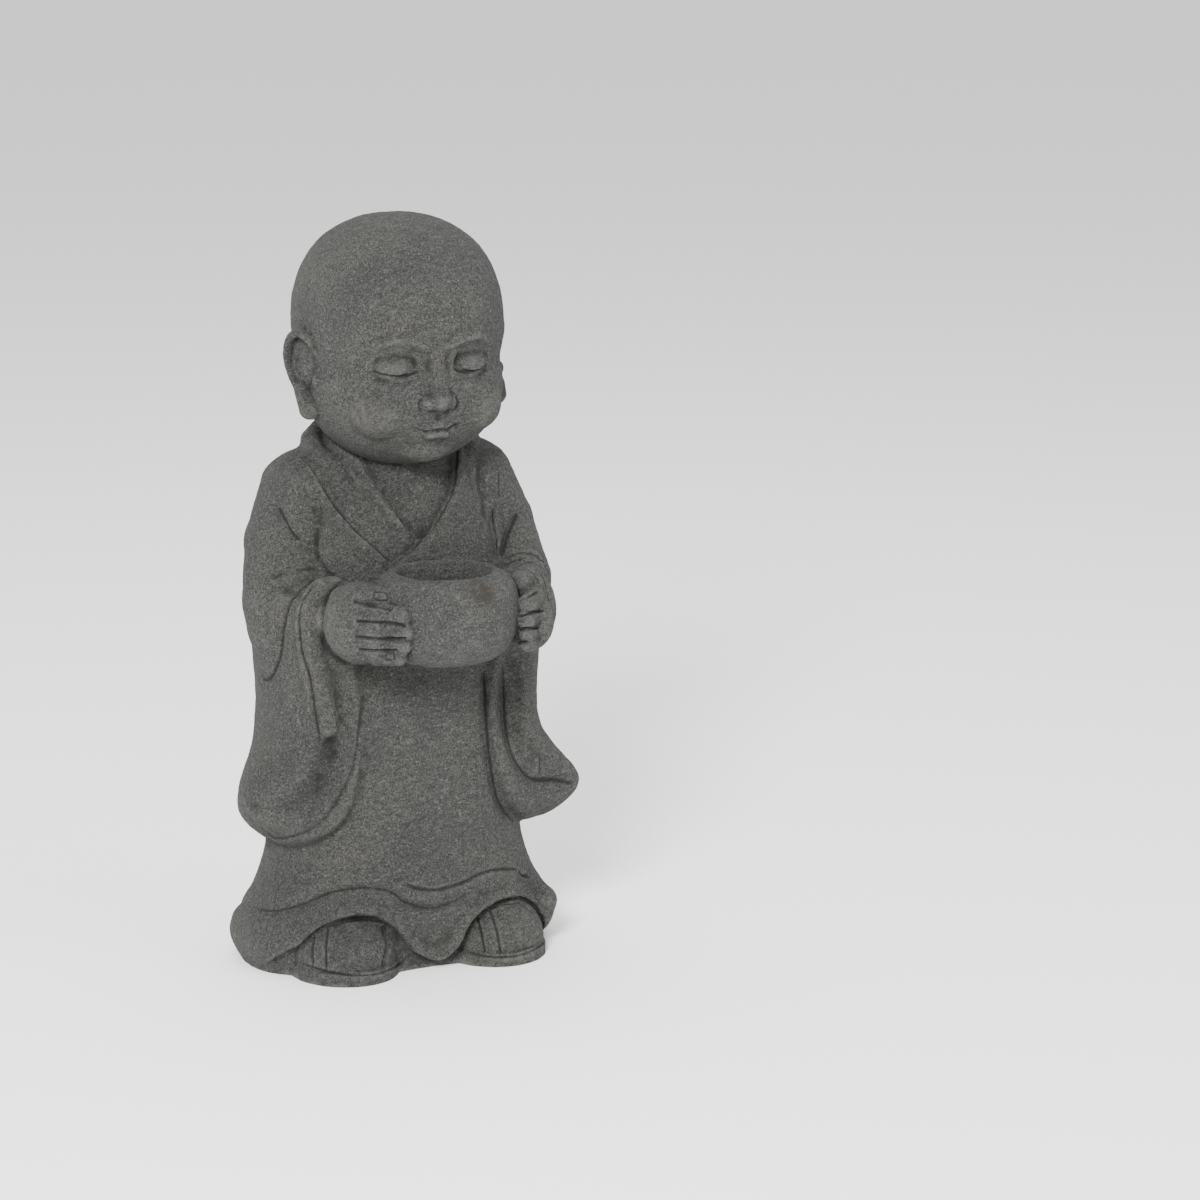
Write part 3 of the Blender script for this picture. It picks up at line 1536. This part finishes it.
    def weather(self, figure: bpy.types.Object) -> None:
        """Stores how far each point stands out of, or lies back in, its surroundings.

        Args:
            figure: the figure.
        """
        mesh = figure.data
        mesh.update()
        count = len(mesh.vertices)
        points = rows_of(mesh.vertices, "co").astype(float)
        normals = rows_of(mesh.vertex_normals, "vector")
        a, b = rows_of(mesh.edges, "vertices", np.int32, 2).T
        mean = points.copy()
        offsets = []
        shares = np.bincount(a, minlength=count) + np.bincount(b, minlength=count)
        for turn in range(1, self.rounds[-1] + 1):
            sums = [np.bincount(a, mean[b, k], count) + np.bincount(b, mean[a, k], count) for k in range(3)]
            mean = 0.5 * mean + 0.5 * np.stack(sums, axis=1) / np.maximum(shares, 1)[:, None]
            if turn in self.rounds:
                offsets.append(((points - mean) * normals).sum(axis=1) / UNIT)
        for name, way, steps in (("worn", 1, self.wear), ("grime", -1, self.dirt)):
            values = sum(
                np.clip((way * offset - start) / span, 0, 1) * share
                for offset, (start, span, share) in zip(offsets, steps)
            )
            layer = mesh.attributes.new(name, "FLOAT", "POINT")
            layer.data.foreach_set("value", np.clip(values, 0, self.most).astype(np.float32))

    def build(self) -> Matrix:
        """Makes the figure and dresses it.

        Returns:
            What takes the figure's own frame to the solid's.
        """
        figure = self.sculpt()
        self.roughen(figure)
        self.thin(figure)
        self.cut_base(figure)
        move = self.set_in_place(figure)
        self.weather(figure)
        figure.name = "casting"
        figure.data.shade_smooth()
        figure.data.materials.clear()
        figure.data.materials.append(CastStone().material(move @ self.stain_at, self.stain_size * UNIT))
        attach(figure, "root")
        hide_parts(NODE)
        log.info("casting: %d triangles", sum(len(face.vertices) - 2 for face in figure.data.polygons))
        return move


@dataclass
class Studio:
    """The floor, the soft lights and the camera."""

    floor_size: float = 60.0
    target: Place = (0.0, 0.0, 0.3)
    # Each light's name, place, size in metres, and power in watts.
    lights: tuple[tuple[str, Place, float, float], ...] = (
        ("key", (-2.0, -2.8, 2.2), 1.1, 400.0),
        ("fill", (2.2, -2.6, 1.5), 2.0, 52.0),
        ("top", (0.2, 0.6, 3.2), 2.6, 60.0),
    )
    sky: float = 1.2
    # How far the camera sees, in metres.
    sight: float = 200

    def lay_floor(self) -> None:
        """Lays the pale floor."""
        deselect()
        bpy.ops.mesh.primitive_plane_add(size=self.floor_size, location=(0, 0, 0))
        floor = bpy.context.object
        floor.name = "floor"
        floor.data.materials.append(PaleFloor().material())

    def hang_lights(self) -> None:
        """Hangs the soft lights and sets the even light from all round."""
        for name, place, size, power in self.lights:
            bpy.ops.object.light_add(type="AREA", location=place)
            lamp = bpy.context.object
            lamp.name = name
            lamp.data.shape = "DISK"
            lamp.data.size = size
            lamp.data.energy = power
            lamp.rotation_euler = (Vector(self.target) - Vector(place)).to_track_quat("-Z", "Y").to_euler()
        world = bpy.data.worlds.new("studio")
        bpy.context.scene.world = world
        world.use_nodes = True
        world.node_tree.nodes["Background"].inputs["Color"].default_value = (1, 1, 1, 1)
        world.node_tree.nodes["Background"].inputs["Strength"].default_value = self.sky

    def set_camera(self, lens: Lens, move: Matrix) -> None:
        """Stands the camera where the picture was taken from.

        Args:
            lens: the picture's camera, in the figure's own frame.
            move: what takes that frame to the solid's.
        """
        bpy.ops.object.camera_add(location=move @ units(*lens.place))
        camera = bpy.context.object
        camera.name = "camera"
        right, up, forward = lens.axes()
        camera.rotation_euler = Matrix((right, up, -forward)).transposed().to_euler()
        camera.data.lens = lens.focal_mm
        camera.data.sensor_width = lens.sensor_mm
        camera.data.clip_end = self.sight
        bpy.context.scene.camera = camera


def main() -> None:
    """Builds the statue and the studio."""
    logging.basicConfig(level=logging.INFO, format="%(asctime)s %(message)s")
    statue = Statue()
    move = statue.build()
    studio = Studio()
    studio.lay_floor()
    studio.hang_lights()
    studio.set_camera(statue.lens, move)


if __name__ == "__main__":
    main()
